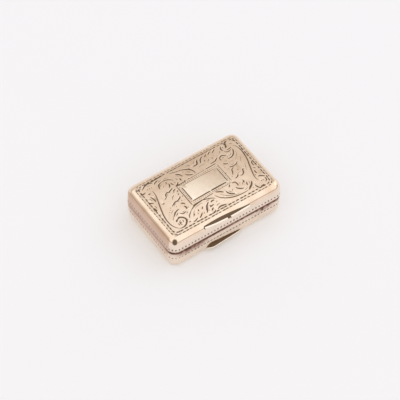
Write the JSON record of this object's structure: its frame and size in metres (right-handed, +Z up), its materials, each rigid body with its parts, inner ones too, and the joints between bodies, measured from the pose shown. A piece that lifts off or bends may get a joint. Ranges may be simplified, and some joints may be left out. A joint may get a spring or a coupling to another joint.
{
  "type": "vinaigrette",
  "caption": "Small rectangular silver box with a hinged engraved lid, gilt inside, and a hinged pierced grille that holds a scented sponge.",
  "frame": {"origin": "middle of the flat underside", "axes": "+X along the length, -Y to the front with the thumb lips, +Y to the hinge, +Z up"},
  "size_m": [0.036, 0.025, 0.0112],
  "materials": {
    "silver": "worn polished silver with a warm tone",
    "silver_gilt": "soft gilding",
    "sponge": "matt and porous"
  },
  "bodies": {
    "base": {"base_bottom": "silver", "base_wall": "silver", "base_bezel": "silver_gilt", "base_thumb_lip": "silver", "base_hinge_knuckle_left": "silver", "base_hinge_knuckle_middle": "silver", "base_hinge_knuckle_right": "silver", "lid_hinge_pin": "silver_gilt", "hinge_plug_left": "silver", "hinge_plug_right": "silver", "grille_hinge_lug_left": "silver_gilt", "grille_hinge_lug_right": "silver_gilt", "grille_hinge_pin": "silver_gilt", "grille_bearer_left": "silver_gilt", "grille_bearer_right": "silver_gilt", "grille_bearer_front": "silver_gilt", "sponge": "sponge"},
    "lid": {"lid_top": "silver", "lid_wall": "silver", "lid_thumb_lip": "silver", "lid_hinge_knuckle_left": "silver", "lid_hinge_knuckle_right": "silver"},
    "grille": {"grille_plate": "silver_gilt", "grille_frame": "silver_gilt", "grille_hinge_knuckle": "silver_gilt", "grille_lift_tab": "silver_gilt"}
  },
  "joints": [
    {"name": "lid_hinge", "type": "hinge", "parent": "base", "child": "lid", "pos_m": [0, 0.01202, 0.0062], "axis": [-1, 0, 0], "range_deg": [0, 110]},
    {"name": "grille_hinge", "type": "hinge", "parent": "base", "child": "grille", "pos_m": [0, 0.01009, 0.0066], "axis": [-1, 0, 0], "range_deg": [0, 90]}
  ],
  "couplings": [
    {"joint": "grille_hinge", "follows": "lid_hinge", "ratio": 0.8}
  ]
}
